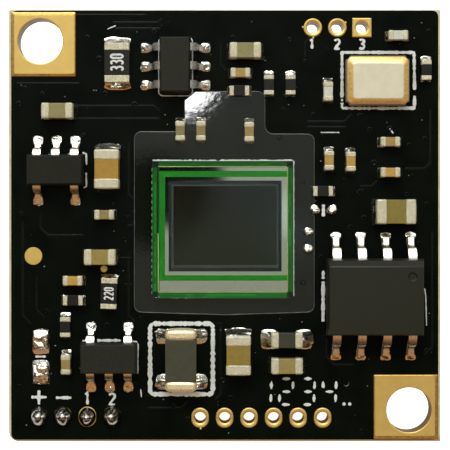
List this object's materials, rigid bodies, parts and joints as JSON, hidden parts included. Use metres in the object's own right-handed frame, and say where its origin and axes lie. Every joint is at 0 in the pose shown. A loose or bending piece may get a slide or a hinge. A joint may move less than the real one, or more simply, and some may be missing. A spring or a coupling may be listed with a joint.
{
  "type": "camera module",
  "caption": "Bare camera module: a square black circuit board with an image sensor, power, clock and memory parts, and a cable header behind.",
  "frame": {"origin": "midway between the two mounting holes, on the board's front face", "axes": "+Z out of the image sensor, square to the board; +X to the right and +Y to the edge with the three-hole row, seen from the front"},
  "size_m": [0.022, 0.022, 0.0068],
  "materials": {
    "mask": "gloss",
    "gold": "satin",
    "solder": "gloss",
    "silicon": "gloss",
    "sensor_wall": "satin",
    "cover_glass": "gloss",
    "mould_compound": "matte",
    "tinned_leads": "satin",
    "crystal_ceramic": "satin",
    "quartz": "gloss",
    "gold_rim": "gloss",
    "crystal_cover": "satin",
    "inductor_ferrite": "satin",
    "inductor_plating": "satin",
    "ferrite": "satin",
    "tan_ceramic": "satin",
    "grey_ceramic": "satin",
    "olive_ceramic": "satin",
    "large_ceramic": "satin",
    "tinned_ends": "satin",
    "alumina": "satin",
    "resistor_coat": "satin",
    "housing_nylon": "satin"
  },
  "bodies": {
    "root": {"board": "mask", "corner_lands": "gold", "service_hole_lands": "gold", "control_hole_lands": "gold", "cable_hole_lands": "gold", "test_lands": "gold", "chip_lands": "gold", "package_lands": "gold", "sensor_lands": "gold", "back_lands": "gold", "chip_solder": "solder", "package_solder": "solder", "pin_solder": "solder", "bare_land_solder": "solder", "back_solder": "solder", "sensor_balls": "solder", "sensor_die": "silicon", "sensor_dam": "sensor_wall", "sensor_glass": "cover_glass", "memory_body": "mould_compound", "switch_body": "mould_compound", "core_regulator_body": "mould_compound", "io_regulator_body": "mould_compound", "processor_body": "mould_compound", "memory_leads": "tinned_leads", "switch_leads": "tinned_leads", "core_regulator_leads": "tinned_leads", "io_regulator_leads": "tinned_leads", "processor_contacts": "tinned_leads", "cable_pins": "tinned_leads", "crystal_base": "crystal_ceramic", "crystal_blank": "quartz", "crystal_seal_ring": "gold_rim", "crystal_lid": "crystal_cover", "inductor_core": "inductor_ferrite", "inductor_ends": "inductor_plating", "ferrite_core": "ferrite", "tan_capacitor_cores": "tan_ceramic", "back_capacitor_cores": "tan_ceramic", "grey_capacitor_cores": "grey_ceramic", "medium_capacitor_cores": "olive_ceramic", "large_capacitor_cores": "large_ceramic", "tan_capacitor_ends": "tinned_ends", "grey_capacitor_ends": "tinned_ends", "medium_capacitor_ends": "tinned_ends", "large_capacitor_ends": "tinned_ends", "small_resistor_ends": "tinned_ends", "medium_resistor_ends": "tinned_ends", "large_resistor_ends": "tinned_ends", "ferrite_ends": "tinned_ends", "back_capacitor_ends": "tinned_ends", "small_resistor_bases": "alumina", "medium_resistor_base": "alumina", "large_resistor_base": "alumina", "small_resistor_coats": "resistor_coat", "medium_resistor_coat": "resistor_coat", "large_resistor_coat": "resistor_coat", "cable_housing": "housing_nylon"}
  },
  "joints": []
}
